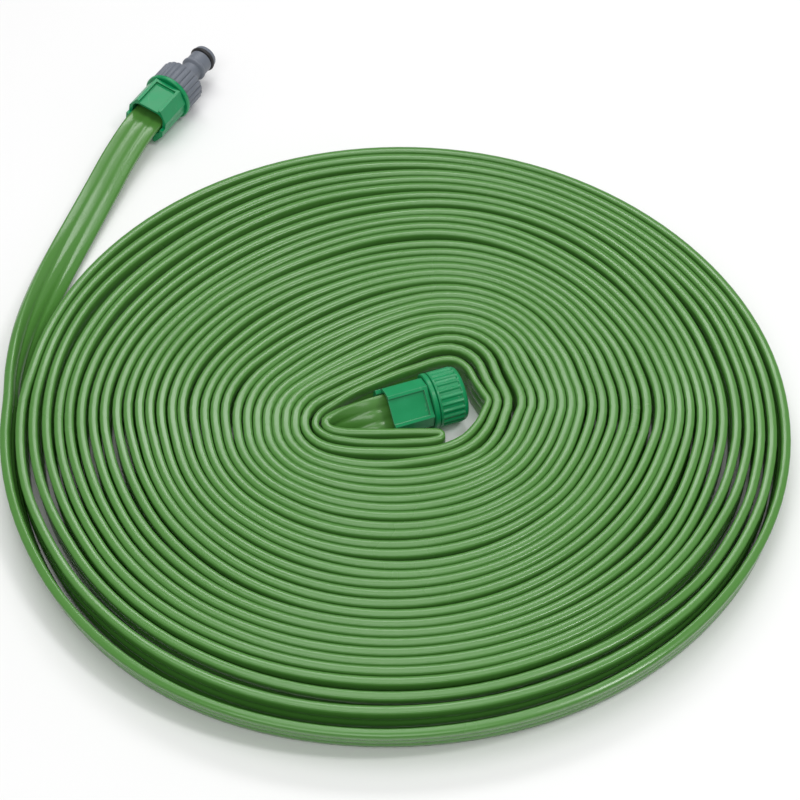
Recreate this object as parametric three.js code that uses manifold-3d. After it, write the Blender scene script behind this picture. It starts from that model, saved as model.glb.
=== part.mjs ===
// Flat three-channel soaker hose, wound on edge into a coil that stands on the ground.
// Its inlet end wears a tap adaptor, and its far end is shut by a screw cap in the coil's eye.
// Millimetres, +Z up, the ground at Z = 0, the origin under the middle of the whole object.
import * as THREE from 'three';
import { mergeVertices } from 'three/addons/utils/BufferGeometryUtils.js';
import Module from 'manifold-3d';

const wasm = await Module();
wasm.setup();

// ---------------------------------------------------------------- driving dimensions

const GAP = 0.3;                    // clearance between neighbouring pieces

// The hose: a flat strip of three water channels side by side.
const HOSE_WIDTH = 21;
const HOSE_THICK = 5.2;
const HOSE_EDGE = 1.3;              // how far the strip's edges are rounded off
const CHANNELS = 3;
const CHANNEL_BORE = 4.0;           // widened where the spigots push in

// The coil: the outline of its outermost turn, which lies a little loose at its end.
const COIL_CENTRE = [5.4, -46.9];
const COIL_RADIUS_X = 208.5;
const COIL_RADIUS_Y = 201;
const LAST_TURN_SLACK = 9.7;
const OUTLINE_POINTS = 96;

// Both end fittings share one moulding. Lengths run along the fitting, from the hose's mouth.
const SHELL_LENGTH = 22.7;
const SHELL_LIP = 3;                // how far the lower shell reaches out past the upper one
const SHELL_HALF_WIDTH = 13.5;
const SHELL_HALF_HEIGHT = 12.5;
const SHELL_FLAT_HALF = 8.8;        // half the width of either shell's flat
const SHELL_SIDE_HALF = 4.5;        // half the height of the shells' upright sides
const PANEL_WIDTH = 14;             // the sunk panel on the flat of either shell
const PANEL_DEPTH = 1.6;
const PANEL_END = 2.2;              // shell left standing between the panel and the flange
const MOUTH_DEPTH = 7;
const UPPER_MOUTH_RISE = 9.4;       // the upper shell's mouth is an arch well clear of the hose
const UPPER_MOUTH_CORNER = 5;
const LOWER_MOUTH_RISE = 3.8;
const LOWER_MOUTH_CORNER = 2.9;
const SOCKET_DEPTH = 17;            // how far the hose is pushed in
const HOSE_START = 1;               // where the piece of hose inside the socket begins
const CHAMBER_HALF_WIDTH = 11.8;    // room in the shells for the divider behind the socket
const CHAMBER_HALF_HEIGHT = 4.6;
const DIVIDER_HALF_WIDTH = 11.4;
const DIVIDER_HALF_HEIGHT = 4.2;
const DIVIDER_CORNER = 2;
const DIVIDER_WALL = 2;             // between the socket and the water chamber
const WATER_HALF_WIDTH = 8.4;
const WATER_HALF_HEIGHT = 1.6;
const FLANGE_RADIUS = 15.8;
const FLANGE_THICK = 3;
const FLANGE_EDGE = 0.6;
const THREAD_RADIUS = 13.2;         // G 3/4 male thread, drawn plain
const THREAD_LENGTH = 11;
const THREAD_BORE = 8.5;
const SPIGOT_RADIUS = 1.7;          // over the barbs
const SPIGOT_BARB = 0.3;
const BARB_PITCH = 3;
const SPIGOT_BORE = 1.1;
const SPIGOT_START = 6;
const WASHER_INNER = 8.6;
const RIB_HEIGHT = 0.8;             // grip ribs on the collar and the cap

const FITTING_HEIGHT = 16;          // both fittings lie on the ground on their widest rim

// Where each fitting's mouth is, which way it points, and how far it is rolled on its side.
const INLET = { x: -155, y: 185, heading: 62, roll: 12 };
const OUTLET = { x: -3.2, y: -54.6, heading: 20, roll: 40 };

// The grey tap adaptor: a ribbed collar with a quick-connect nipple.
const COLLAR_LENGTH = 15.5;
const COLLAR_RADIUS = 15.1;
const COLLAR_RIBS = 24;
const COLLAR_RIB_SHARE = 0.62;      // how much of each pitch the rib takes up
const COLLAR_WASHER = 2.6;
const NIPPLE_BORE = 4.6;
const NIPPLE_NECK = 6.3;
// The nipple's outside, as [radius, place beyond the collar]: neck, latch ridge, O-ring groove, tip.
const NIPPLE_PROFILE = [
  [NIPPLE_NECK + 1.4, 0], [NIPPLE_NECK, 1.4], [NIPPLE_NECK, 11.6], [8.3, 12.6], [8.3, 14.4],
  [7.6, 15.2], [7.6, 22.6], [6.1, 22.6], [6.1, 25.4], [7.6, 25.4], [7.6, 27.6], [6.7, 28.4],
];
const O_RING_PLACE = 24;            // the middle of its groove
const O_RING_RADIUS = 7.25;         // to the middle of the ring's section
const O_RING_SECTION = 0.9;         // half the section's thickness

// The green screw cap that shuts the outlet.
const CAP_LENGTH = 17;
const CAP_RADIUS = 15.6;
const CAP_RIBS = 24;
const CAP_RIB_SHARE = 0.4;
const CAP_RIM = 0.8;
const CAP_BAND = 2.6;               // plain band at the closed end
const CAP_EDGE = 0.4;
const CAP_CHAMFER = 1.6;
const CAP_WASHER = 2.0;

// The hose between the coil and the inlet: places along its middle, and how far its top edge
// leans outward from upright, in degrees.
const LEAD_ROUTE = [
  [-210.0, -46.9, 10.6, 8], [-210.8, -24.5, 10.6, 14], [-209.4, 0.5, 10.5, 24],
  [-205.8, 25.5, 9.6, 37], [-200.6, 50.5, 8.6, 50], [-194.4, 75.5, 7.6, 61],
  [-187.2, 100.5, 7.6, 70], [-178.6, 127.5, 9.4, 75], [-169.4, 153.5, 13.0, 78],
];

// The innermost hose, from the coil's inner end, once round the eye, then folded to and fro to
// the outlet: places along its middle, and how far its top edge leans back from upright.
const TAIL_ROUTE = [
  [-47.7, -60.5, 10.5, 0], [-46.0, -71.5, 10.5, 0], [-38.0, -79.5, 10.5, 0],
  [-24.0, -83.5, 10.5, 0], [-6.0, -84.5, 10.5, 0], [12.0, -84.3, 10.5, 0],
  [26.0, -82.0, 10.5, 0], [38.0, -75.5, 10.5, 0], [46.8, -64.8, 10.5, 0],
  [51.0, -56.0, 10.5, 0], [52.2, -50.6, 10.5, 0], [49.8, -44.6, 10.5, 0],
  [44.8, -36.2, 10.5, 0], [39.6, -25.4, 10.5, 0], [32.6, -20.6, 10.5, 0],
  [24.0, -22.8, 10.5, 0], [13.4, -27.3, 10.5, 0], [3.6, -31.3, 10.5, 0],
  [-8.6, -36.9, 10.5, 0], [-19.8, -42.6, 10.5, 0], [-31.4, -50.4, 10.5, 0],
  [-40.0, -58.6, 10.5, 0], [-41.8, -66.5, 10.5, 0], [-36.0, -73.2, 10.5, 0],
  [-24.0, -76.8, 10.5, 0], [-8.0, -78.2, 10.5, 0], [10.0, -77.6, 10.5, 0],
  [21.0, -76.6, 10.5, 0], [26.6, -74.2, 10.5, 0], [25.8, -71.4, 10.5, 0],
  [18.0, -70.8, 10.5, 0], [2.0, -71.0, 10.5, 0], [-16.0, -71.2, 10.5, 0],
  [-28.0, -70.4, 10.5, 0], [-34.6, -67.8, 10.6, 2], [-35.4, -64.0, 10.8, 8],
  [-30.0, -61.2, 11.8, 20], [-22.0, -59.6, 13.6, 36],
];
const MOUTH_STATIONS = [-9, 0.7];   // where either end runs straight into its fitting
const LEAD_STEPS = 40;
const TAIL_STEPS = 78;
const EYE_STEPS = 42;               // how many of the tail's steps lie along the eye's wall

// ---------------------------------------------------------------- looks

const look = (color, roughness) => new THREE.MeshStandardMaterial({ color, roughness, metalness: 0 });
const hoseGreen = 0x5f9a55;
const fittingGreen = 0x0e9a63;
const adaptorGrey = 0x7b808a;
const sealBlack = 0x202224;

// ---------------------------------------------------------------- helpers

// Turns a closed three.js geometry into a solid that can be joined and cut.
function solid(geometry) {
  const bare = geometry.index ? geometry.toNonIndexed() : geometry.clone();
  bare.deleteAttribute('normal');
  bare.deleteAttribute('uv');
  const merged = mergeVertices(bare, 1e-4);
  return new wasm.Manifold(new wasm.Mesh({
    numProp: 3,
    vertProperties: merged.attributes.position.array,
    triVerts: Uint32Array.from(merged.index.array),
  }));
}

// Turns a solid back into a geometry.
function geometryOf(body) {
  const result = body.getMesh();
  const geometry = new THREE.BufferGeometry();
  geometry.setAttribute('position', new THREE.BufferAttribute(result.vertProperties, 3));
  geometry.setIndex(new THREE.BufferAttribute(result.triVerts, 1));
  geometry.computeVertexNormals();
  return geometry;
}

// Names a piece and gives it its finish.
function piece(name, geometry, material) {
  const mesh = new THREE.Mesh(geometry, material);
  mesh.name = name;
  return mesh;
}

// A turned piece on the X axis: the profile is a closed ring of [radius, place along X].
function turned(profile, segments = 48) {
  const points = [...profile, profile[0]].map(([radius, along]) => new THREE.Vector2(radius, along));
  const geometry = new THREE.LatheGeometry(points, segments);
  geometry.rotateZ(-Math.PI / 2);
  return solid(geometry);
}

// A plain rod on the X axis, or a tube where an inner radius is given.
function rod(radius, from, to, inner = 0, segments = 48) {
  return turned([[inner, from], [radius, from], [radius, to], [inner, to]], segments);
}

// An outline in the YZ plane pushed along X.
function prism(shape, from, to) {
  const options = { depth: to - from, bevelEnabled: false, curveSegments: 8 };
  const geometry = new THREE.ExtrudeGeometry(shape, options);
  const turn = new THREE.Matrix4().makeBasis(
    new THREE.Vector3(0, 1, 0), new THREE.Vector3(0, 0, 1), new THREE.Vector3(1, 0, 0));
  geometry.applyMatrix4(turn);
  geometry.translate(from, 0, 0);
  return solid(geometry);
}

// A box from one corner to the opposite one.
function block(x0, x1, y0, y1, z0, z1) {
  const geometry = new THREE.BoxGeometry(x1 - x0, y1 - y0, z1 - z0);
  geometry.translate((x0 + x1) / 2, (y0 + y1) / 2, (z0 + z1) / 2);
  return solid(geometry);
}

// A rectangle with round corners, centred on the origin.
function roundedRectangle(halfWidth, halfHeight, corner) {
  const shape = new THREE.Shape();
  const w = halfWidth - corner;
  const h = halfHeight - corner;
  shape.absarc(w, h, corner, 0, Math.PI / 2);
  shape.absarc(-w, h, corner, Math.PI / 2, Math.PI);
  shape.absarc(-w, -h, corner, Math.PI, 1.5 * Math.PI);
  shape.absarc(w, -h, corner, 1.5 * Math.PI, 2 * Math.PI);
  return shape;
}

// The outline of the two closed shells: flat above and below, with slanted shoulders.
function shellOutline() {
  const corners = [
    [SHELL_HALF_WIDTH, SHELL_SIDE_HALF], [SHELL_FLAT_HALF, SHELL_HALF_HEIGHT],
    [-SHELL_FLAT_HALF, SHELL_HALF_HEIGHT], [-SHELL_HALF_WIDTH, SHELL_SIDE_HALF],
    [-SHELL_HALF_WIDTH, -SHELL_SIDE_HALF], [-SHELL_FLAT_HALF, -SHELL_HALF_HEIGHT],
    [SHELL_FLAT_HALF, -SHELL_HALF_HEIGHT], [SHELL_HALF_WIDTH, -SHELL_SIDE_HALF],
  ];
  return new THREE.Shape(corners.map(([y, z]) => new THREE.Vector2(y, z)));
}

// A toothed ring outline: flat-topped ribs standing on a round base.
function ribbedOutline(base, height, ribs, share) {
  const points = [];
  const pitch = (2 * Math.PI) / ribs;
  for (let rib = 0; rib < ribs; rib += 1) {
    const middle = rib * pitch;
    for (const [offset, radius] of [
      [-0.5, base], [-share / 2, base], [-share / 2 + 0.08, base + height],
      [share / 2 - 0.08, base + height], [share / 2, base],
    ]) {
      const angle = middle + offset * pitch;
      points.push(new THREE.Vector2(radius * Math.cos(angle), radius * Math.sin(angle)));
    }
  }
  return new THREE.Shape(points);
}

// The stations where the hose runs straight into a fitting.
function intoFitting({ x, y, heading, roll }) {
  const angle = THREE.MathUtils.degToRad(heading);
  return MOUTH_STATIONS.map((along) => [
    x + along * Math.cos(angle), y + along * Math.sin(angle), FITTING_HEIGHT, 90 - roll]);
}

// A route as a smooth path: at any t from 0 to 1 it gives the middle of the strip, the way it
// runs, the level direction to its left, and its lean in radians.
function pathOf(route) {
  const middles = new THREE.CatmullRomCurve3(
    route.map(([x, y, z]) => new THREE.Vector3(x, y, z)), false, 'centripetal');
  const leans = new THREE.SplineCurve(route.map(([, , , lean], place) => new THREE.Vector2(place, lean)));
  return (t) => {
    const along = middles.getTangent(t);
    return {
      middle: middles.getPoint(t),
      along,
      left: new THREE.Vector3(-along.y, along.x, 0).normalize(),
      lean: THREE.MathUtils.degToRad(leans.getPoint(t).y),
    };
  };
}

// Lays the flat strip along a route. Lean turns its top edge from upright towards the left of
// the way it runs.
function strip(route, steps) {
  const half = HOSE_WIDTH / 2;
  const thick = HOSE_THICK / 2;
  const flat = half - HOSE_EDGE;
  const side = thick - HOSE_EDGE;
  const section = new THREE.Shape([
    [-half, -side], [-flat, -thick], [flat, -thick], [half, -side],
    [half, side], [flat, thick], [-flat, thick], [-half, side],
  ].map(([across, through]) => new THREE.Vector2(across, through)));
  const geometry = new THREE.ExtrudeGeometry(section, { depth: 1, steps, bevelEnabled: false });
  const path = pathOf(route);
  const position = geometry.attributes.position;
  const up = new THREE.Vector3(0, 0, 1);
  for (let i = 0; i < position.count; i += 1) {
    const { middle, along, left, lean } = path(THREE.MathUtils.clamp(position.getZ(i), 0, 1));
    const across = up.clone().multiplyScalar(Math.cos(lean)).addScaledVector(left, Math.sin(lean));
    const through = new THREE.Vector3().crossVectors(along, across).normalize();
    middle.addScaledVector(across, position.getX(i)).addScaledVector(through, position.getY(i));
    position.setXYZ(i, middle.x, middle.y, middle.z);
  }
  return geometryOf(solid(geometry));
}

// ---------------------------------------------------------------- the hose

const leadRoute = [...LEAD_ROUTE, ...intoFitting(INLET)];
const tailRoute = [...TAIL_ROUTE, ...intoFitting(OUTLET)];

// Radius of the coil's outline at an angle, part way (0 to 1) along its last turn.
function coilRadius(angle, turn) {
  const ellipse = (COIL_RADIUS_X * COIL_RADIUS_Y)
    / Math.hypot(COIL_RADIUS_Y * Math.cos(angle), COIL_RADIUS_X * Math.sin(angle));
  return ellipse + LAST_TURN_SLACK * turn ** 3;
}

// The coil's solid: the outline of its last turn outside, the eye's wall inside.
function coilGeometry() {
  const outline = [];
  for (let i = 0; i <= OUTLINE_POINTS; i += 1) {
    const turn = i / OUTLINE_POINTS;
    const angle = Math.PI - 2 * Math.PI * turn;
    const radius = coilRadius(angle, turn);
    const drop = i % OUTLINE_POINTS === 0 ? GAP : 0;
    outline.push(new THREE.Vector2(
      COIL_CENTRE[0] + radius * Math.cos(angle), COIL_CENTRE[1] + radius * Math.sin(angle) - drop));
  }
  const clear = HOSE_THICK / 2 + GAP;
  const tail = pathOf(tailRoute);
  const wall = [];
  for (let i = 0; i <= EYE_STEPS; i += 1) {
    const { middle, left } = tail(i / TAIL_STEPS);
    wall.push(new THREE.Vector2(middle.x - clear * left.x, middle.y - clear * left.y));
  }
  const start = tail(0);
  for (const side of [HOSE_THICK / 2, -clear]) {
    wall.push(new THREE.Vector2(
      start.middle.x + side * start.left.x - GAP * start.along.x,
      start.middle.y + side * start.left.y - GAP * start.along.y));
  }
  const shape = new THREE.Shape(outline);
  shape.holes.push(new THREE.Path(wall));
  return new THREE.ExtrudeGeometry(shape, { depth: HOSE_WIDTH, bevelEnabled: false });
}

// Where each water channel runs across the strip.
function channelPlaces() {
  const pitch = HOSE_WIDTH / CHANNELS;
  return Array.from({ length: CHANNELS }, (_, i) => (i - (CHANNELS - 1) / 2) * pitch);
}

// The last bit of hose inside a fitting, opened out over the three spigots.
function hoseEnd() {
  const round = HOSE_THICK / 2 - 0.1;
  const outline = roundedRectangle(HOSE_WIDTH / 2, HOSE_THICK / 2, round);
  const strap = prism(outline, HOSE_START, SOCKET_DEPTH - GAP);
  const channel = rod(CHANNEL_BORE / 2, 0, SOCKET_DEPTH, 0, 16);
  return channelPlaces().reduce((rest, y) => rest.subtract(channel.translate([0, y, 0])), strap);
}

// ---------------------------------------------------------------- the end fittings

const FAR = 40;                     // past every face of a fitting, for the ends of cutting tools

// One half of the clamp round the hose's end. side is 1 for the upper half, -1 for the lower.
function clampShell(side) {
  const upper = side > 0;
  const from = upper ? 0 : -SHELL_LIP;
  const half = upper
    ? block(-FAR, FAR, -FAR, FAR, GAP / 2, FAR)
    : block(-FAR, FAR, -FAR, FAR, -FAR, -GAP / 2);
  const halfWidth = HOSE_WIDTH / 2 + 2 * GAP;
  const halfHeight = HOSE_THICK / 2 + 2 * GAP;
  const socket = block(-FAR, SOCKET_DEPTH, -halfWidth, halfWidth, -halfHeight, halfHeight);
  const mouthOutline = upper
    ? roundedRectangle(halfWidth, UPPER_MOUTH_RISE, UPPER_MOUTH_CORNER)
    : roundedRectangle(halfWidth, LOWER_MOUTH_RISE, LOWER_MOUTH_CORNER);
  const mouth = prism(mouthOutline, -FAR, MOUTH_DEPTH);
  const chamber = block(SOCKET_DEPTH - 1, FAR, -CHAMBER_HALF_WIDTH, CHAMBER_HALF_WIDTH,
    -CHAMBER_HALF_HEIGHT, CHAMBER_HALF_HEIGHT);
  const panelFloor = SHELL_HALF_HEIGHT - PANEL_DEPTH;
  const panel = block(-FAR, SHELL_LENGTH - PANEL_END, -PANEL_WIDTH / 2, PANEL_WIDTH / 2,
    upper ? panelFloor : -FAR, upper ? FAR : -panelFloor);
  return prism(shellOutline(), from, SHELL_LENGTH)
    .intersect(half)
    .subtract(socket)
    .subtract(mouth)
    .subtract(chamber)
    .subtract(panel);
}

// A barbed tube that one water channel is pushed over.
function spigot() {
  const neck = SPIGOT_RADIUS - SPIGOT_BARB;
  const end = SOCKET_DEPTH + DIVIDER_WALL / 2;
  return turned([
    [0, SPIGOT_START], [neck, SPIGOT_START],
    [SPIGOT_RADIUS, SPIGOT_START + BARB_PITCH - 1], [neck, SPIGOT_START + BARB_PITCH - 0.9],
    [SPIGOT_RADIUS, SPIGOT_START + 2 * BARB_PITCH - 1], [neck, SPIGOT_START + 2 * BARB_PITCH - 0.9],
    [neck, end], [0, end],
  ], 16);
}

// The water divider: three spigots, the chamber behind them, the flange and the thread.
function manifoldBody() {
  const flange = SHELL_LENGTH + GAP;
  const thread = flange + FLANGE_THICK;
  const end = thread + THREAD_LENGTH;
  const divider = prism(roundedRectangle(DIVIDER_HALF_WIDTH, DIVIDER_HALF_HEIGHT, DIVIDER_CORNER),
    SOCKET_DEPTH, flange + 1);
  const rim = turned([
    [0, flange], [FLANGE_RADIUS - FLANGE_EDGE, flange], [FLANGE_RADIUS, flange + FLANGE_EDGE],
    [FLANGE_RADIUS, thread - FLANGE_EDGE], [FLANGE_RADIUS - FLANGE_EDGE, thread], [0, thread],
  ], 64);
  const threadRod = turned([
    [0, thread - 1], [THREAD_RADIUS, thread - 1], [THREAD_RADIUS, end - 1],
    [THREAD_RADIUS - 1, end], [0, end],
  ]);
  const waterway = block(SOCKET_DEPTH + DIVIDER_WALL, flange + 1, -WATER_HALF_WIDTH, WATER_HALF_WIDTH,
    -WATER_HALF_HEIGHT, WATER_HALF_HEIGHT);
  const bore = rod(SPIGOT_BORE, 0, SOCKET_DEPTH + DIVIDER_WALL + 1, 0, 12);
  const spigots = channelPlaces().map((y) => spigot().translate([0, y, 0]));
  const bores = channelPlaces().map((y) => bore.translate([0, y, 0]));
  const whole = [rim, threadRod, ...spigots].reduce((sum, part) => sum.add(part), divider);
  return [waterway, rod(THREAD_BORE, flange + 0.9, end + 1), ...bores]
    .reduce((rest, cut) => rest.subtract(cut), whole);
}

const flangeFront = SHELL_LENGTH + GAP + FLANGE_THICK;
const threadEnd = flangeFront + THREAD_LENGTH;
const threadClearance = THREAD_RADIUS + GAP;

// A flat ring that seals against the end of the thread.
function washer(thick) {
  return rod(THREAD_RADIUS, threadEnd + GAP, threadEnd + GAP + thick, WASHER_INNER);
}

// The tap adaptor: collar, seat for the washer, and nipple.
function tapAdaptor() {
  const start = flangeFront + GAP;
  const seat = threadEnd + 2 * GAP + COLLAR_WASHER;
  const end = start + COLLAR_LENGTH;
  const tip = NIPPLE_PROFILE.at(-1)[1];
  const outside = NIPPLE_PROFILE.map(([radius, along]) => [radius, end + along]);
  const root = (seat + end) / 2;
  const nipple = turned([[0, root], [NIPPLE_NECK, root], ...outside, [0, end + tip]]);
  const ribs = ribbedOutline(COLLAR_RADIUS - RIB_HEIGHT, RIB_HEIGHT, COLLAR_RIBS, COLLAR_RIB_SHARE);
  return prism(ribs, start, end)
    .add(nipple)
    .subtract(rod(NIPPLE_BORE, seat - 1, end + tip + 1))
    .subtract(rod(threadClearance, start - 1, seat));
}

// The O-ring in its groove near the nipple's tip.
function nippleRing() {
  const middle = flangeFront + GAP + COLLAR_LENGTH + O_RING_PLACE;
  const geometry = new THREE.TorusGeometry(O_RING_RADIUS, O_RING_SECTION, 10, 40);
  geometry.rotateY(Math.PI / 2);
  geometry.translate(middle, 0, 0);
  return geometry;
}

// The screw cap: a plain rim, a ribbed grip and a chamfered end.
function endCap() {
  const start = flangeFront + GAP;
  const end = start + CAP_LENGTH - GAP;
  const band = end - CAP_BAND;
  const seat = threadEnd + 2 * GAP + CAP_WASHER;
  const smooth = CAP_RADIUS - CAP_EDGE;
  const ribs = ribbedOutline(CAP_RADIUS - RIB_HEIGHT, RIB_HEIGHT, CAP_RIBS, CAP_RIB_SHARE);
  const grip = prism(ribs, start, band);
  const rim = turned([
    [0, start], [smooth, start], [CAP_RADIUS, start + CAP_EDGE],
    [CAP_RADIUS, start + CAP_RIM], [0, start + CAP_RIM],
  ], 72);
  const closedEnd = turned([
    [0, band], [smooth, band], [smooth, end - CAP_CHAMFER], [smooth - CAP_CHAMFER, end], [0, end],
  ], 72);
  return grip.add(rim).add(closedEnd).subtract(rod(threadClearance, start - 1, seat));
}

// Lays a fitting's pieces where the fitting lies.
function placed(place, pieces) {
  const group = new THREE.Group();
  const turn = THREE.MathUtils.degToRad;
  group.rotation.set(turn(place.roll), 0, turn(place.heading), 'ZYX');
  group.position.set(place.x, place.y, FITTING_HEIGHT);
  group.add(...pieces);
  return group;
}

// The pieces that both ends have.
function clampedEnd(prefix) {
  return [
    piece(`${prefix}_hose_end`, geometryOf(hoseEnd()), look(hoseGreen, 0.45)),
    piece(`${prefix}_clamp_upper`, geometryOf(clampShell(1)), look(fittingGreen, 0.35)),
    piece(`${prefix}_clamp_lower`, geometryOf(clampShell(-1)), look(fittingGreen, 0.35)),
    piece(`${prefix}_manifold`, geometryOf(manifoldBody()), look(fittingGreen, 0.35)),
  ];
}

// ---------------------------------------------------------------- the whole object

const group = new THREE.Group();
group.add(
  piece('hose_coil', coilGeometry(), look(hoseGreen, 0.45)),
  piece('hose_lead', strip(leadRoute, LEAD_STEPS), look(hoseGreen, 0.45)),
  piece('hose_tail', strip(tailRoute, TAIL_STEPS), look(hoseGreen, 0.45)),
  placed(INLET, [
    ...clampedEnd('inlet'),
    piece('adaptor_washer', geometryOf(washer(COLLAR_WASHER)), look(sealBlack, 0.8)),
    piece('tap_adaptor', geometryOf(tapAdaptor()), look(adaptorGrey, 0.5)),
    piece('nipple_o_ring', nippleRing(), look(sealBlack, 0.6)),
  ]),
  placed(OUTLET, [
    ...clampedEnd('outlet'),
    piece('cap_washer', geometryOf(washer(CAP_WASHER)), look(sealBlack, 0.8)),
    piece('end_cap', geometryOf(endCap()), look(fittingGreen, 0.35)),
  ]),
);

export default group;
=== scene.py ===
import math

import bpy
import numpy as np
from mathutils import Matrix, Vector


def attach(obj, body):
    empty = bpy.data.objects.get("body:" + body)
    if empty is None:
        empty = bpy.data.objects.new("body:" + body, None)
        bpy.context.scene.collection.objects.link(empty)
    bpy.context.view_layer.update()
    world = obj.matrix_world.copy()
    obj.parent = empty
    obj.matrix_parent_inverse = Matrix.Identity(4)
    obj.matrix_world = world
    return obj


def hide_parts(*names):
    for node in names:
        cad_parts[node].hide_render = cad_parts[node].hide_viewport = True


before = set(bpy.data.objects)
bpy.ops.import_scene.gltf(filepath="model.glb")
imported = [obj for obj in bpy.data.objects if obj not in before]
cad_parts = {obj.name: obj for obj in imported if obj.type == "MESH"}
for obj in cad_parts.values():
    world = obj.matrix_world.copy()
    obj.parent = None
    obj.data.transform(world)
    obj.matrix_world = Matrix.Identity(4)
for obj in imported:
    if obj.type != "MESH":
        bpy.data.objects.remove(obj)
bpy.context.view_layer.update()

# The camera stands in front of the coil and looks steeply down on it, far enough away
# for the round coil to keep its shape.
CAMERA_AT = Vector((0.004, -0.7116, 0.810))
CAMERA_LOOKS_DOWN = math.radians(50)
camera_data = bpy.data.cameras.new("camera")
camera_data.lens = 84.8
camera_data.sensor_width = 36
camera_data.clip_end = 20
camera = bpy.data.objects.new("camera", camera_data)
camera.location = CAMERA_AT
camera.rotation_euler = (math.pi / 2 - CAMERA_LOOKS_DOWN, 0, 0)
bpy.context.scene.collection.objects.link(camera)
bpy.context.scene.camera = camera


# The hose is one long flat strip of soft green PVC with three water channels side by side, so both
# of its faces show three low lobes. It is wound on edge, turn against turn, and only its own
# stiffness holds the coil: the turns lie a little loose, and the last one leans outwards.
HOSE_WIDTH = 0.021
HOSE_THICK = 0.0050
CHANNELS = 3
WEB_THICK = 0.0035                  # between two channels
FOLDED_THICK = 0.80                 # of the full thickness

COIL_CENTRE = Vector((0.0054, -0.0469))
COIL_RADIUS_X = 0.2085
COIL_RADIUS_Y = 0.201
LAST_TURN_SLACK = 0.0097
COIL_TURNS = 27                     # up to where the last turn begins
ROUNDING = 14                       # samples either way that a stiff turn rounds itself off over
SETTLING_ROUNDS = 6                 # tries at sharing the spare room until the turns fill the coil
LOOSEN_IN_ROUND = 1                 # the try in which the loose places are put in
WIDEST_LEAN_GAP = 0.004             # a gap wider than this lets a turn lean no further
LEAN_SHARE = 0.65                   # of a gap, that a turn's top edge moves into
RIDES_UP = 0.0009                   # how far a turn may stand clear of the floor
WIDEST_SHARE = 0.0017               # of the room to spare, between two turns at the sides
SAMPLES = 240                       # places worked out in each turn
POLE = np.array((0.0035, -0.0520))  # the middle of the eye, which the turns are measured from

# The inlet's stretch, from the coil to the fitting: x, y, z, and how far the top edge leans left.
LEAD_ROUTE = [
    (-0.2108, -0.0245, 0.0106, 14), (-0.2094, 0.0005, 0.0105, 24),
    (-0.2058, 0.0255, 0.0096, 37), (-0.2006, 0.0505, 0.0086, 50), (-0.1944, 0.0755, 0.0076, 61),
    (-0.1872, 0.1005, 0.0076, 70), (-0.1786, 0.1275, 0.0094, 75), (-0.1694, 0.1535, 0.0130, 78),
]

# The innermost stretch, once round the eye and then folded to and fro to the outlet.
TAIL_ROUTE = [
    (-0.0477, -0.0605, 0.0105, 0), (-0.0460, -0.0715, 0.0105, 0), (-0.0380, -0.0795, 0.0105, 0),
    (-0.0240, -0.0835, 0.0105, 0), (-0.0060, -0.0845, 0.0105, 0), (0.0120, -0.0843, 0.0105, 0),
    (0.0260, -0.0820, 0.0105, 0), (0.0380, -0.0755, 0.0105, 0), (0.0466, -0.0644, 0.0105, 0),
    (0.0508, -0.0545, 0.0105, 0), (0.0521, -0.0512, 0.0105, 0), (0.0524, -0.0490, 0.0105, 0),
    (0.0516, -0.0467, 0.0105, 0), (0.0500, -0.0436, 0.0105, 0), (0.0458, -0.0352, 0.0105, 0),
    (0.0410, -0.0244, 0.0105, 0), (0.0338, -0.0188, 0.0105, 0),
    (0.0242, -0.0198, 0.0105, 0), (0.0134, -0.0243, 0.0105, 0), (0.0036, -0.0286, 0.0105, 0),
    (-0.0086, -0.0350, 0.0105, 0), (-0.0198, -0.0414, 0.0105, 0), (-0.0314, -0.0504, 0.0105, 0),
    (-0.0400, -0.0586, 0.0105, 0), (-0.0418, -0.0665, 0.0105, 0), (-0.0360, -0.0732, 0.0105, 0),
    (-0.0240, -0.0768, 0.0105, 0), (-0.0080, -0.0782, 0.0105, 0), (0.0100, -0.0776, 0.0105, 0),
    (0.0210, -0.0766, 0.0105, 0), (0.0266, -0.0742, 0.0105, 0), (0.0258, -0.0714, 0.0105, 0),
    (0.0180, -0.0708, 0.0105, 0), (0.0020, -0.0710, 0.0105, 0), (-0.0160, -0.0712, 0.0105, 0),
    (-0.0280, -0.0704, 0.0105, 0), (-0.0346, -0.0678, 0.0106, 2), (-0.0354, -0.0640, 0.0108, 8),
    (-0.0300, -0.0612, 0.0118, 20), (-0.0220, -0.0596, 0.0136, 36),
]
EYE_STATIONS = 25                   # of the tail's, the ones that go once round the eye

# Each fitting's mouth on the plan, its height, the way it points and how far it is rolled over.
INLET = {"x": -0.155, "y": 0.185, "heading": 62, "roll": 12}
OUTLET = {"x": -0.0032, "y": -0.0546, "heading": 20, "roll": 40}
FITTING_HEIGHT = 0.016
INTO_FITTING = (-0.009, 0.0007, 0.0160)

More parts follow.
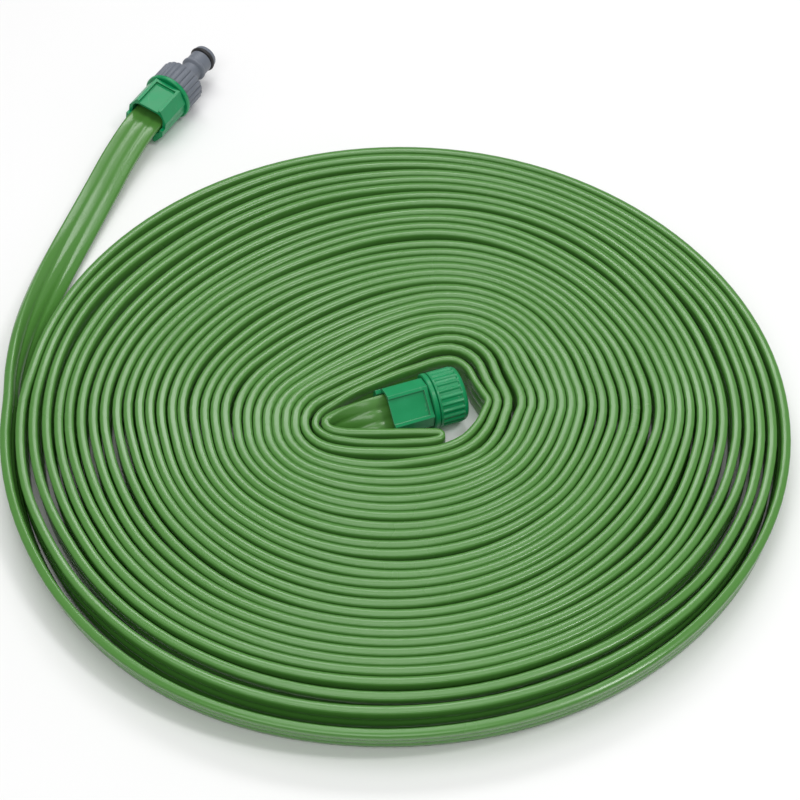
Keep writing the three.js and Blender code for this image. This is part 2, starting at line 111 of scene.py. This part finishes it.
# Where the turns lie apart: from and to which angle, at what radius, and by how much.
LOOSE = [
    (130, 84, 0.159, 0.0030), (124, 78, 0.139, 0.0024), (108, 60, 0.118, 0.0030),
    (76, 30, 0.157, 0.0040), (76, 28, 0.168, 0.0022), (110, 40, 0.035, 0.0018),
    (-56, -150, 0.189, 0.0074), (-66, -116, 0.172, 0.0026), (-74, -128, 0.160, 0.0026),
    (-104, -156, 0.181, 0.0026), (-94, -136, 0.147, 0.0018), (-128, -180, 0.153, 0.0024),
    (-70, -136, 0.134, 0.0020), (-64, -128, 0.118, 0.0018), (24, -20, 0.140, 0.0008),
    (166, 124, 0.185, 0.0012), (192, 144, 0.120, 0.0014),
    (-50, -140, 0.036, 0.0042), (-50, -130, 0.125, 0.0026), (-70, -150, 0.108, 0.0022),
    (-40, -110, 0.098, 0.0024), (-80, -150, 0.085, 0.0020), (-30, -100, 0.072, 0.0018),
    (75, 25, 0.045, 0.0022), (75, 20, 0.055, 0.0016), (70, 15, 0.065, 0.0012),
    (-10, -45, 0.050, 0.0022), (-10, -50, 0.060, 0.0014),
]


def smooth_through(points, steps):
    """A smooth line through rows of numbers that begin with a place, so many steps from row to row."""
    rows = [np.array(point, float) for point in points]
    rows = [2 * rows[0] - rows[1]] + rows + [2 * rows[-1] - rows[-2]]
    line = []
    for a, b, c, d in zip(rows, rows[1:], rows[2:], rows[3:]):
        k1 = np.linalg.norm((b - a)[:3]) ** 0.5
        k2 = k1 + np.linalg.norm((c - b)[:3]) ** 0.5
        k3 = k2 + np.linalg.norm((d - c)[:3]) ** 0.5
        for t in np.linspace(k1, k2, steps, endpoint=False):
            ab = a + (b - a) * t / k1
            bc = b + (c - b) * (t - k1) / (k2 - k1)
            cd = c + (d - c) * (t - k2) / (k3 - k2)
            abc = ab + (bc - ab) * t / k2
            bcd = bc + (cd - bc) * (t - k1) / (k3 - k1)
            line.append(abc + (bcd - abc) * (t - k1) / (k2 - k1))
    line.append(rows[-2])
    return np.array(line)


def wander(count, every, seed):
    """Smooth random numbers from 0 to 1, one for each sample, with a new one every so many samples."""
    knots = np.random.default_rng(seed).random(count // every + 3)
    at = np.arange(count) / every
    low = at.astype(int)
    ease = (1 - np.cos(math.pi * (at - low))) / 2
    return knots[low] * (1 - ease) + knots[low + 1] * ease


def last_turn_lean(turn):
    """How far the last turn leans outwards, in degrees, from its beginning (0) to its end (1)."""
    return float(np.interp(turn, (0, 0.3, 0.5, 0.6, 0.68, 0.76, 0.84, 0.92, 1),
                           (1, 2, 4, 8, 14, 18, 15, 11, 10)))


def wound_coil():
    """The coil's turns from the eye outwards: rows of x, y, z of the strip's middle, and its lean."""
    eye = smooth_through(TAIL_ROUTE[:EYE_STATIONS], 24)[:, :2] - POLE
    eye_angle = np.unwrap(np.arctan2(eye[:, 1], eye[:, 0]))
    start = eye_angle[0] + 2 * math.pi
    first = np.interp(start - 2 * math.pi * np.arange(SAMPLES + 1) / SAMPLES,
                      eye_angle, np.hypot(eye[:, 0], eye[:, 1]))

    # The foot of the last turn.
    turns = np.linspace(0, 1, 361)
    foot = []
    for turn in turns:
        angle = math.pi - 2 * math.pi * turn
        radius = COIL_RADIUS_X * COIL_RADIUS_Y / math.hypot(
            COIL_RADIUS_Y * math.cos(angle), COIL_RADIUS_X * math.sin(angle))
        radius += LAST_TURN_SLACK * turn ** 3 - HOSE_THICK / 2
        radius += 0.0042 * math.exp(-((turn - 0.845) / 0.07) ** 2)
        radius -= 0.0025 * math.exp(-((turn - 0.40) / 0.09) ** 2)
        radius -= 0.0028 * np.clip((turn - 0.9) / 0.1, 0, 1)
        foot.append((COIL_CENTRE.x + radius * math.cos(angle), COIL_CENTRE.y + radius * math.sin(angle)))
    foot = np.array(foot) - POLE
    foot_angle = np.unwrap(np.arctan2(foot[:, 1], foot[:, 0]))
    foot_radius = np.hypot(foot[:, 0], foot[:, 1])

    count = (COIL_TURNS + 1) * SAMPLES + SAMPLES // 8
    angles = start - 2 * math.pi * np.arange(count) / SAMPLES
    in_last = angles + 2 * math.pi * COIL_TURNS
    last = np.nonzero((in_last <= foot_angle[0]) & (in_last >= foot_angle[-1]))[0]
    count = last[-1] + 1
    angles = angles[:count]
    last_radius = np.interp(-in_last[last], -foot_angle, foot_radius)
    turn_of = np.interp(-in_last[last], -foot_angle, turns)
    toward = np.stack([np.cos(angles), np.sin(angles)], 1)

    # Between two turns lie loose places, and a little of the rest of the room, unevenly shared.
    turn_number = np.arange(count) / SAMPLES
    nearer = np.clip(-np.sin(angles), 0, 1)
    outer = (turn_number / COIL_TURNS) ** (0.6 + 2.2 * nearer)
    share = (0.06 + wander(count, SAMPLES // 6, 4) ** 3) * outer
    last_gap = np.interp(turn_of, (0, 0.5, 0.65, 0.75, 0.85, 0.93, 1),
                         (0.0006, 0.0006, 0.0010, 0.0024, 0.0018, 0.0007, 0.0006))
    target = last_radius - HOSE_THICK - last_gap
    tightness = np.zeros(SAMPLES)
    loose = np.zeros(count)
    loose[SAMPLES:SAMPLES + 40] = 0.0016 * np.cos(np.linspace(0, math.pi / 2, 40)) ** 2
    residue = np.arange(count) % SAMPLES
    for settling in range(SETTLING_ROUNDS):
        widest = WIDEST_SHARE * (1 + np.abs(np.sin(angles)))
        slack = loose + np.minimum(tightness[residue] * share, widest)
        places = np.zeros((count, 2))
        places[:SAMPLES + 1] = first[:, None] * toward[:SAMPLES + 1]
        places[last] = last_radius[:, None] * toward[last]
        radius = np.zeros(count)
        radius[:SAMPLES + 1] = first
        radius[last] = last_radius
        fine = np.arange(8) / 8
        for i in range(SAMPLES + 1, last[0]):
            reach = min(SAMPLES // 6, 2 + int(0.007 / (2 * math.pi * radius[i - SAMPLES] / SAMPLES)))
            inner = places[max(i - SAMPLES - reach, 0):min(i - SAMPLES + reach, i - 1) + 1]
            inner = (inner[:-1, None] * (1 - fine)[None, :, None]
                     + inner[1:, None] * fine[None, :, None]).reshape(-1, 2)
            apart = HOSE_THICK + slack[i]
            ahead = inner @ toward[i]
            aside = inner[:, 0] * toward[i][1] - inner[:, 1] * toward[i][0]
            near = np.abs(aside) < apart
            rounder = radius[max(i - SAMPLES - ROUNDING, 0):i - SAMPLES + ROUNDING + 1].mean() + HOSE_THICK
            radius[i] = max(np.max(ahead[near] + np.sqrt(apart ** 2 - aside[near] ** 2)), rounder)
            places[i] = radius[i] * toward[i]
        missing = np.zeros(SAMPLES)
        shared = np.zeros(SAMPLES)
        for goal, i in zip(target, last - SAMPLES):
            missing[i % SAMPLES] = goal - radius[i]
            shared[i % SAMPLES] = share[i % SAMPLES + SAMPLES:i + 1:SAMPLES].sum()
        if settling == LOOSEN_IN_ROUND:
            for begin, end, at, much in LOOSE:
                middle = math.radians((begin + end) / 2)
                near = [i for i in range(SAMPLES + 40, last[0]) if abs(math.remainder(
                    angles[i] - middle, 2 * math.pi)) < math.pi / SAMPLES]
                chosen = min(near, key=lambda i: abs(radius[i] - at))
                half = int(abs(begin - end) / 360 * SAMPLES)
                window = np.arange(max(chosen - half, SAMPLES + 1), min(chosen + half, last[0]))
                loose[window] += much * np.cos((window - chosen) / half * math.pi / 2) ** 2
        tightness += missing / shared
        wide = np.concatenate([tightness[-8:], tightness, tightness[:8]])
        kernel = np.exp(-np.linspace(-2, 2, 9) ** 2)
        tightness = np.convolve(wide, kernel / kernel.sum(), "same")[8:-8]

    # A turn's top edge leans into whatever room there is beside it.
    gap = np.zeros(count)
    gap[SAMPLES:] = np.hypot(*(places[SAMPLES:] - places[:-SAMPLES]).T) - HOSE_THICK
    outside = np.concatenate([gap[SAMPLES:], np.full(SAMPLES, 0.002)])
    mood = wander(count, SAMPLES // 7, 9)
    shift = LEAN_SHARE * (mood * np.clip(outside, 0, WIDEST_LEAN_GAP)
                          - (1 - mood) * np.clip(gap, 0, WIDEST_LEAN_GAP))
    lean = np.degrees(np.arcsin(shift / HOSE_WIDTH))
    lean[last] = [last_turn_lean(turn) for turn in turn_of]
    before = np.arange(last[0] - 40, last[0])
    lean[before] += (lean[last[0]] - lean[before]) * np.linspace(0, 1, 40)
    ride = RIDES_UP * wander(count, SAMPLES // 3, 15)

    along = np.gradient(places, axis=0)
    along /= np.hypot(*along.T)[:, None]
    outward = np.stack([-along[:, 1], along[:, 0]], 1)
    tilt = np.radians(lean)
    middle = places + POLE + outward * (HOSE_WIDTH / 2 * np.sin(tilt))[:, None]
    height = ride + HOSE_WIDTH / 2 * np.cos(tilt) + 0.6 * HOSE_THICK / 2 * np.abs(np.sin(tilt))
    return np.column_stack([middle, height, lean])[SAMPLES:]


def into(fitting, places):
    """The stations where the hose runs straight into a fitting."""
    angle = math.radians(fitting["heading"])
    return [(fitting["x"] + along * math.cos(angle), fitting["y"] + along * math.sin(angle),
             FITTING_HEIGHT, 90 - fitting["roll"]) for along in places]


def hose_route():
    """The whole hose from the inlet to the outlet: rows of x, y, z, its lean to the left in degrees,
    and how thick it is against its full thickness. Folded, it presses itself flat."""
    lead = (LEAD_ROUTE + into(INLET, INTO_FITTING))[::-1]
    lead = [(x, y, z, -lean) for x, y, z, lean in lead]
    coil = [(x, y, z, -lean) for x, y, z, lean in wound_coil()[::-4]]
    tail = TAIL_ROUTE + into(OUTLET, INTO_FITTING)
    line = smooth_through(lead + coil[:-1] + tail, 8)
    length = np.concatenate([[0], np.cumsum(np.linalg.norm(np.diff(line[:, :3], axis=0), axis=1))])
    in_lead = length[len(lead) * 8]
    in_coil = length[(len(lead) + len(coil) - 1) * 8]
    stops = [0.0]
    while stops[-1] < length[-1]:
        at = stops[-1]
        step = 0.005 if at < in_lead else 0.0018 if at > in_coil + 0.10 else 0.004
        if in_lead <= at < in_coil:
            step = 0.0055 + 0.005 * (in_coil - at) / (in_coil - in_lead)
        stops.append(at + step)
    stops[-1] = length[-1]
    flat = np.interp(stops, (in_coil + 0.06, in_coil + 0.12, length[-1] - 0.10, length[-1] - 0.05),
                     (1, FOLDED_THICK, FOLDED_THICK, 1))
    columns = [np.interp(stops, length, column) for column in line.T]
    return np.column_stack(columns + [flat]), np.array(stops)


def strip_section():
    """The strip's outline: its place across the width and through the thickness."""
    lobe = HOSE_WIDTH / CHANNELS
    side = [(-0.5, 0.0), (-0.488, 0.50), (-0.44, 0.88), (-0.28, 1.0), (0.12, 1.0), (0.36, 0.90),
            (0.5, WEB_THICK / HOSE_THICK)]
    outer = [(-lobe + lobe * across, HOSE_THICK / 2 * through) for across, through in side]
    inner = [(lobe * across, HOSE_THICK / 2 * through)
             for across, through in ((-0.34, 0.91), (0, 1.0), (0.34, 0.91))]
    top = outer + inner + [(-across, through) for across, through in outer[::-1]]
    return top + [(across, -through) for across, through in top[-2:0:-1]]


def mesh_piece(name, verts, faces, smooth=True, corner_uvs=None):
    """A mesh object in the scene."""
    mesh = bpy.data.meshes.new(name)
    mesh.from_pydata(verts, [], faces)
    if corner_uvs is not None:
        layer = mesh.uv_layers.new(name="along and across")
        layer.data.foreach_set("uv", np.asarray(corner_uvs, float).ravel())
    mesh.polygons.foreach_set("use_smooth", [smooth] * len(mesh.polygons))
    mesh.update()
    made = bpy.data.objects.new(name, mesh)
    bpy.context.scene.collection.objects.link(made)
    return made


def hose_mesh(route, stops):
    """Sweeps the strip's section along the route. The map gives metres along and across the hose."""
    section = np.array(strip_section())
    middle = route[:, :3]
    along = np.gradient(middle, axis=0)
    along /= np.linalg.norm(along, axis=1)[:, None]
    left = np.column_stack([-along[:, 1], along[:, 0], np.zeros(len(along))])
    left /= np.linalg.norm(left, axis=1)[:, None]
    tilt = np.radians(route[:, 3])
    across = np.array([0, 0, 1]) * np.cos(tilt)[:, None] + left * np.sin(tilt)[:, None]
    through = np.cross(along, across)
    through /= np.linalg.norm(through, axis=1)[:, None]
    verts = (middle[:, None] + across[:, None] * section[None, :, :1]
             + through[:, None] * section[None, :, 1:] * route[:, 4, None, None]).reshape(-1, 3)
    rows, columns = len(route), len(section)
    row, column = np.meshgrid(np.arange(rows - 1), np.arange(columns), indexing="ij")
    following = (column + 1) % columns
    faces = np.stack([row * columns + column, row * columns + following,
                      (row + 1) * columns + following, (row + 1) * columns + column], -1).reshape(-1, 4)
    rim = np.concatenate([[0], np.cumsum(np.hypot(*np.diff(
        np.vstack([section, section[:1]]), axis=0).T))])
    uv = np.stack([
        np.stack([stops[row], rim[column]], -1), np.stack([stops[row], rim[column + 1]], -1),
        np.stack([stops[row + 1], rim[column + 1]], -1), np.stack([stops[row + 1], rim[column]], -1),
    ], 2).reshape(-1, 2)
    ends = [tuple(range(columns - 1, -1, -1)), tuple(range((rows - 1) * columns, rows * columns))]
    uv = np.vstack([uv, np.zeros((2 * columns, 2))])
    return mesh_piece("hose", verts.tolist(), [tuple(f) for f in faces.tolist()] + ends, True, uv)


route, stops = hose_route()
hose = hose_mesh(route, stops)
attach(hose, "hose")
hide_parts("hose_coil", "hose_lead", "hose_tail", "inlet_hose_end", "outlet_hose_end")


def group_with(name, inputs, outputs):
    """An empty shader node group with the named inputs and outputs, and its two end nodes."""
    group = bpy.data.node_groups.new(name, "ShaderNodeTree")
    for socket, value in inputs:
        made = group.interface.new_socket(socket, in_out="INPUT", socket_type="NodeSocketFloat")
        made.default_value = value
    for socket, kind in outputs:
        group.interface.new_socket(socket, in_out="OUTPUT", socket_type=kind)
    return group, group.nodes.new("NodeGroupInput"), group.nodes.new("NodeGroupOutput")


def noise_in(tree, scale, detail, roughness=0.55):
    """A noise texture node."""
    node = tree.nodes.new("ShaderNodeTexNoise")
    node.inputs["Scale"].default_value = scale
    node.inputs["Detail"].default_value = detail
    node.inputs["Roughness"].default_value = roughness
    return node


def spread(tree, value, low, high):
    """Stretches the part of a value between low and high out to 0 to 1."""
    node = tree.nodes.new("ShaderNodeMapRange")
    node.inputs["From Min"].default_value = low
    node.inputs["From Max"].default_value = high
    tree.links.new(value, node.inputs["Value"])
    return node.outputs["Result"]


def plastic_skin():
    """Node group: how a moulded surface varies. Clouds are broad, grain is fine, scuffs are rare."""
    group, start, end = group_with(
        "plastic skin", [("Clouds per metre", 60.0), ("Grain per metre", 2500.0)],
        [("Clouds", "NodeSocketFloat"), ("Grain", "NodeSocketFloat"), ("Scuffs", "NodeSocketFloat")])
    place = group.nodes.new("ShaderNodeTexCoord")
    clouds = noise_in(group, 60, 3)
    grain = noise_in(group, 2500, 4)
    scuffs = noise_in(group, 320, 6, 0.7)
    stretch = group.nodes.new("ShaderNodeMapping")
    stretch.inputs["Rotation"].default_value = (0.4, 0.9, 0.2)
    stretch.inputs["Scale"].default_value = (1, 0.25, 1)
    group.links.new(place.outputs["Object"], stretch.inputs["Vector"])
    group.links.new(stretch.outputs["Vector"], scuffs.inputs["Vector"])
    for noise, rate in ((clouds, "Clouds per metre"), (grain, "Grain per metre")):
        group.links.new(place.outputs["Object"], noise.inputs["Vector"])
        group.links.new(start.outputs[rate], noise.inputs["Scale"])
    group.links.new(spread(group, clouds.outputs["Fac"], 0.3, 0.7), end.inputs["Clouds"])
    group.links.new(grain.outputs["Fac"], end.inputs["Grain"])
    group.links.new(spread(group, scuffs.outputs["Fac"], 0.62, 0.72), end.inputs["Scuffs"])
    return group


def hose_streaks():
    """Node group: the fine lines that run along a drawn hose, and the slow changes along its length."""
    group, start, end = group_with("hose streaks", [("Lines per metre", 900.0)], [
        ("Lines", "NodeSocketFloat"), ("Slow", "NodeSocketFloat")])
    place = group.nodes.new("ShaderNodeTexCoord")
    apart = group.nodes.new("ShaderNodeSeparateXYZ")
    joined = group.nodes.new("ShaderNodeCombineXYZ")
    along = group.nodes.new("ShaderNodeMath")
    along.operation = "MULTIPLY"
    along.inputs[1].default_value = 6.0
    across = group.nodes.new("ShaderNodeMath")
    across.operation = "MULTIPLY"
    lines = noise_in(group, 1, 4, 0.6)
    slow = noise_in(group, 9, 3)
    group.links.new(place.outputs["UV"], apart.inputs["Vector"])
    group.links.new(apart.outputs["X"], along.inputs[0])
    group.links.new(apart.outputs["Y"], across.inputs[0])
    group.links.new(start.outputs["Lines per metre"], across.inputs[1])
    group.links.new(along.outputs["Value"], joined.inputs["X"])
    group.links.new(across.outputs["Value"], joined.inputs["Y"])
    group.links.new(joined.outputs["Vector"], lines.inputs["Vector"])
    group.links.new(place.outputs["UV"], slow.inputs["Vector"])
    group.links.new(lines.outputs["Fac"], end.inputs["Lines"])
    group.links.new(spread(group, slow.outputs["Fac"], 0.3, 0.7), end.inputs["Slow"])
    return group


def new_material(name):
    """A material with its node tree and its Principled shader."""
    material = bpy.data.materials.new(name)
    material.use_nodes = True
    return material, material.node_tree, material.node_tree.nodes["Principled BSDF"]


def use_group(tree, group):
    """A node that uses a shader node group."""
    node = tree.nodes.new("ShaderNodeGroup")
    node.node_tree = group
    return node


def blend_colours(tree, share, first, second):
    """Mixes two colours, each a fixed one or another node's."""
    node = tree.nodes.new("ShaderNodeMix")
    node.data_type = "RGBA"
    tree.links.new(share, node.inputs["Factor"])
    first_in, second_in = (socket for socket in node.inputs if socket.type == "RGBA")
    for socket, colour in ((first_in, first), (second_in, second)):
        if isinstance(colour, tuple):
            socket.default_value = (*colour, 1)
        else:
            tree.links.new(colour, socket)
    return next(socket for socket in node.outputs if socket.type == "RGBA")


def between(tree, share, low, high):
    """A value that runs from low to high as the share runs from 0 to 1."""
    node = tree.nodes.new("ShaderNodeMapRange")
    node.inputs["To Min"].default_value = low
    node.inputs["To Max"].default_value = high
    tree.links.new(share, node.inputs["Value"])
    return node.outputs["Result"]


def bump(tree, height, depth, strength=0.5, normal=None):
    """A bump node, over another normal if there is one."""
    node = tree.nodes.new("ShaderNodeBump")
    node.inputs["Strength"].default_value = strength
    node.inputs["Distance"].default_value = depth
    tree.links.new(height, node.inputs["Height"])
    if normal is not None:
        tree.links.new(normal, node.inputs["Normal"])
    return node.outputs["Normal"]


SKIN = plastic_skin()
STREAKS = hose_streaks()


def hose_pvc():
    """Soft green PVC: a little uneven in colour, drawn lines along it, satin with a slight shine."""
    material, tree, shader = new_material("hose_pvc")
    streaks = use_group(tree, STREAKS)
    skin = use_group(tree, SKIN)
    skin.inputs["Clouds per metre"].default_value = 22
    skin.inputs["Grain per metre"].default_value = 1800
    base = blend_colours(tree, streaks.outputs["Slow"], (0.066, 0.228, 0.032), (0.082, 0.262, 0.044))
    base = blend_colours(tree, between(tree, streaks.outputs["Lines"], 0.0, 0.5), base, (0.056, 0.192, 0.025))
    base = blend_colours(tree, between(tree, skin.outputs["Grain"], 0.0, 0.10), base, (0.30, 0.42, 0.22))
    tree.links.new(base, shader.inputs["Base Color"])
    tree.links.new(between(tree, skin.outputs["Clouds"], 0.17, 0.29), shader.inputs["Roughness"])
    shader.inputs["IOR"].default_value = 1.53
    lines = bump(tree, streaks.outputs["Lines"], 0.00010, 0.22)
    tree.links.new(bump(tree, skin.outputs["Grain"], 0.00003, 0.25, lines), shader.inputs["Normal"])
    return material


hose.data.materials.append(hose_pvc())


# Each fitting is a clamp of two green shells that snap together round the hose's end. They are hard
# moulded plastic, with a sunk panel on the flat and slanted shoulders, and they hold the hose on
# the manifold's three spigots. The manifold's flange shows in front of them.
def moulded(name, dark, light, rough, edge, scuff_and_highlight=(0.55, 0.60, 0.55)):
    """Hard moulded plastic, with the round edges that a mould leaves. Those edges are painted paler as a
    painted highlight, and rare random scuffs take the same pale colour.
    """
    material, tree, shader = new_material(name)
    skin = use_group(tree, SKIN)
    rounded = tree.nodes.new("ShaderNodeBevel")
    rounded.samples = 6
    rounded.inputs["Radius"].default_value = edge
    surface = tree.nodes.new("ShaderNodeNewGeometry")
    facing = tree.nodes.new("ShaderNodeVectorMath")
    facing.operation = "DOT_PRODUCT"
    tree.links.new(rounded.outputs["Normal"], facing.inputs[0])
    tree.links.new(surface.outputs["True Normal"], facing.inputs[1])
    # Painted highlight: the colour turns paler where the rounded edge's normal bends away from the face.
    painted_edge_highlight = between(tree, spread(tree, facing.outputs["Value"], 0.98, 0.80), 0.0, 0.22)
    base = blend_colours(tree, skin.outputs["Clouds"], dark, light)
    base = blend_colours(tree, painted_edge_highlight, base, scuff_and_highlight)
    # The same pale colour also marks the rare random scuffs.
    base = blend_colours(tree, between(tree, skin.outputs["Scuffs"], 0.0, 0.18), base, scuff_and_highlight)
    tree.links.new(base, shader.inputs["Base Color"])
    tree.links.new(between(tree, skin.outputs["Clouds"], *rough), shader.inputs["Roughness"])
    shader.inputs["IOR"].default_value = 1.42
    tree.links.new(bump(tree, skin.outputs["Grain"], 0.00004, 0.3, rounded.outputs["Normal"]),
                   shader.inputs["Normal"])
    return material


fitting_green = moulded("fitting_green", (0.0003, 0.245, 0.078), (0.0006, 0.295, 0.102),
                        (0.26, 0.38), 0.0005)
for end in ("inlet", "outlet"):
    for part in ("clamp_upper", "clamp_lower", "manifold"):
        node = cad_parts[f"{end}_{part}"]
        node.data.materials.clear()
        node.data.materials.append(fitting_green)


# The grey tap adaptor is one moulding: a collar with round grip ribs that screws onto the inlet's
# thread, and a nipple with a latch ridge that a quick connector grips.
THREAD_CLEARANCE = 0.0135           # the collar's bore, just over the thread's radius
COLLAR = {"start": 0.0263, "end": 0.0418, "radius": 0.0151, "seat": 0.0402}
NIPPLE_NECK = 0.0063
NIPPLE_BORE = 0.0046
RIBS = 24                           # round the collar, and the same round the cap


def placed(fitting):
    """Turns a fitting's own frame, with X along it, into the object's."""
    return (Matrix.Translation((fitting["x"], fitting["y"], FITTING_HEIGHT))
            @ Matrix.Rotation(math.radians(fitting["heading"]), 4, "Z")
            @ Matrix.Rotation(math.radians(fitting["roll"]), 4, "X"))


def turned_piece(name, profile, rib_shape, fitting, around=240):
    """A turned piece on the fitting's axis. The profile is a closed ring of rows: place along the
    axis, radius, and how deep the ribs are cut there. rib_shape gives 1 in a groove and 0 on a rib."""
    angles = np.arange(around) * 2 * math.pi / around
    cut = np.array([rib_shape(angle) for angle in angles])
    verts = []
    for along, radius, depth in profile:
        reach = radius - depth * cut
        verts.append(np.column_stack(
            [np.full(around, along), reach * np.cos(angles), reach * np.sin(angles)]))
    verts = np.vstack(verts)
    rows = len(profile)
    faces = [(row * around + i, row * around + (i + 1) % around,
              (row + 1) % rows * around + (i + 1) % around, (row + 1) % rows * around + i)
             for row in range(rows) for i in range(around)]
    made = mesh_piece(name, verts.tolist(), faces)
    made.data.transform(placed(fitting))
    made.data.set_sharp_from_angle(angle=math.radians(35))
    return made


def round_ribs(angle):
    """Wide round ribs with narrow grooves between them."""
    return 1 - abs(math.cos(RIBS / 2 * angle)) ** 0.45


adaptor_profile = [
    (COLLAR["start"], THREAD_CLEARANCE, 0), (COLLAR["start"], COLLAR["radius"] - 0.0011, 0),
    (COLLAR["start"] + 0.0002, COLLAR["radius"] - 0.0003, 0.0007),
    (COLLAR["start"] + 0.0007, COLLAR["radius"], 0.0010),
    (COLLAR["end"] - 0.0009, COLLAR["radius"], 0.0010),
    (COLLAR["end"] - 0.0003, COLLAR["radius"] - 0.0004, 0.0008),
    (COLLAR["end"], COLLAR["radius"] - 0.0013, 0.0003), (COLLAR["end"], 0.0100, 0),
    (COLLAR["end"] + 0.0002, 0.0084, 0), (COLLAR["end"] + 0.0009, NIPPLE_NECK + 0.0006, 0),
    (COLLAR["end"] + 0.0022, NIPPLE_NECK, 0), (0.0530, NIPPLE_NECK, 0), (0.0536, 0.0070, 0),
    (0.0541, 0.0080, 0), (0.0546, 0.0083, 0), (0.0558, 0.0083, 0), (0.0563, 0.0080, 0),
    (0.0568, 0.0076, 0), (0.0641, 0.0076, 0), (0.0644, 0.0073, 0), (0.0644, 0.0061, 0),
    (0.0672, 0.0061, 0), (0.0672, 0.0073, 0), (0.0674, 0.0079, 0), (0.0690, 0.0079, 0),
    (0.0698, 0.0075, 0), (0.0702, 0.0068, 0), (0.0702, 0.0050, 0), (0.0699, NIPPLE_BORE, 0),
    (COLLAR["seat"], NIPPLE_BORE, 0), (COLLAR["seat"], THREAD_CLEARANCE, 0),
]
tap_adaptor = turned_piece("tap_adaptor_moulding", adaptor_profile, round_ribs, INLET)
# The last colour is the pale one for the scuffs and for the painted highlight on the rounded edges.
tap_adaptor.data.materials.append(
    moulded("adaptor_grey", (0.140, 0.158, 0.190), (0.175, 0.192, 0.228), (0.38, 0.50), 0.0003,
            (0.45, 0.47, 0.50)))
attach(tap_adaptor, "tap_adaptor")
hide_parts("tap_adaptor")


# The seals are black rubber: the O-ring sits in the nipple's groove, and a flat washer sits inside
# the collar and another inside the cap.
def seal_rubber():
    """Black rubber with a faint bloom."""
    material, tree, shader = new_material("seal_rubber")
    skin = use_group(tree, SKIN)
    base = blend_colours(tree, skin.outputs["Clouds"], (0.010, 0.010, 0.011), (0.022, 0.022, 0.024))
    tree.links.new(base, shader.inputs["Base Color"])
    tree.links.new(between(tree, skin.outputs["Clouds"], 0.42, 0.58), shader.inputs["Roughness"])
    tree.links.new(bump(tree, skin.outputs["Grain"], 0.00004, 0.4), shader.inputs["Normal"])
    return material


O_RING = {"along": 0.0658, "radius": 0.0074, "section": 0.00130}
ring_steps = [2 * math.pi * step / 20 for step in range(20)]
o_ring = turned_piece("nipple_o_ring_rubber", [
    (O_RING["along"] - O_RING["section"] * math.sin(turn),
     O_RING["radius"] - O_RING["section"] * math.cos(turn), 0)
    for turn in ring_steps], round_ribs, INLET, 120)
rubber = seal_rubber()
o_ring.data.materials.append(rubber)
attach(o_ring, "tap_adaptor")
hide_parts("nipple_o_ring")
for seal in ("adaptor_washer", "cap_washer"):
    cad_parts[seal].data.materials.clear()
    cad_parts[seal].data.materials.append(rubber)


# The green cap that shuts the outlet screws over its thread. Narrow ribs give it grip, and its
# closed end has a plain band and a chamfer.
CAP = {"start": 0.0263, "end": 0.0430, "radius": 0.0156, "seat": 0.0396}


def narrow_ribs(angle):
    """Narrow ribs with wide hollows between them."""
    return 1 - max(0.0, math.cos(RIBS * angle)) ** 0.8


cap_profile = [
    (CAP["start"], THREAD_CLEARANCE, 0), (CAP["start"], CAP["radius"] - 0.0005, 0),
    (CAP["start"] + 0.0004, CAP["radius"], 0), (CAP["start"] + 0.0012, CAP["radius"], 0),
    (CAP["start"] + 0.0016, CAP["radius"], 0.0010), (CAP["end"] - 0.0032, CAP["radius"], 0.0010),
    (CAP["end"] - 0.0027, CAP["radius"] - 0.0003, 0), (CAP["end"] - 0.0018, CAP["radius"] - 0.0004, 0),
    (CAP["end"] - 0.0006, CAP["radius"] - 0.0012, 0), (CAP["end"], CAP["radius"] - 0.0024, 0),
    (CAP["end"], 0.0004, 0), (CAP["end"] - 0.0004, 0.0002, 0), (CAP["seat"], 0.0002, 0),
    (CAP["seat"], THREAD_CLEARANCE, 0),
]
end_cap = turned_piece("end_cap_moulding", cap_profile, narrow_ribs, OUTLET)
end_cap.data.materials.append(fitting_green)
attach(end_cap, "end_cap")
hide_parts("end_cap")


# The pale floor, and the soft light of a studio.
def floor_paint():
    """Pale, matt and very slightly uneven."""
    material, tree, shader = new_material("floor_paint")
    skin = use_group(tree, SKIN)
    skin.inputs["Clouds per metre"].default_value = 3
    tree.links.new(blend_colours(tree, skin.outputs["Clouds"], (0.90, 0.90, 0.90), (0.92, 0.92, 0.92)),
                   shader.inputs["Base Color"])
    shader.inputs["Roughness"].default_value = 0.8
    return material


FLOOR_HALF = 3.0
FLOOR_BELOW = 0.0003
floor = mesh_piece("floor", [(x * FLOOR_HALF, y * FLOOR_HALF, -FLOOR_BELOW)
                             for x, y in ((-1, -1), (1, -1), (1, 1), (-1, 1))], [(0, 1, 2, 3)], False)
floor.data.materials.append(floor_paint())

room = bpy.data.worlds.new("room")
room.use_nodes = True
room.node_tree.nodes["Background"].inputs["Color"].default_value = (1, 1, 1, 1)
room.node_tree.nodes["Background"].inputs["Strength"].default_value = 0.33
bpy.context.scene.world = room
bpy.context.scene.view_settings.view_transform = "Standard"


def softbox(name, at, size, power):
    """A rectangular soft lamp that faces the object."""
    data = bpy.data.lights.new(name, "AREA")
    data.shape = "RECTANGLE"
    data.size, data.size_y = size
    data.energy = power
    lamp = bpy.data.objects.new(name, data)
    lamp.location = at
    lamp.rotation_euler = (-Vector(at)).to_track_quat("-Z", "Y").to_euler()
    bpy.context.scene.collection.objects.link(lamp)


softbox("overhead", (-0.1, 0.2, 1.8), (1.0, 1.0), 8)
softbox("behind", (0.0, 1.35, 1.62), (1.5, 0.4), 12)
softbox("front", (-0.2, -1.05, 1.55), (1.3, 0.7), 8.5)
softbox("side", (0.9, -0.28, 1.76), (0.2, 0.5), 9)
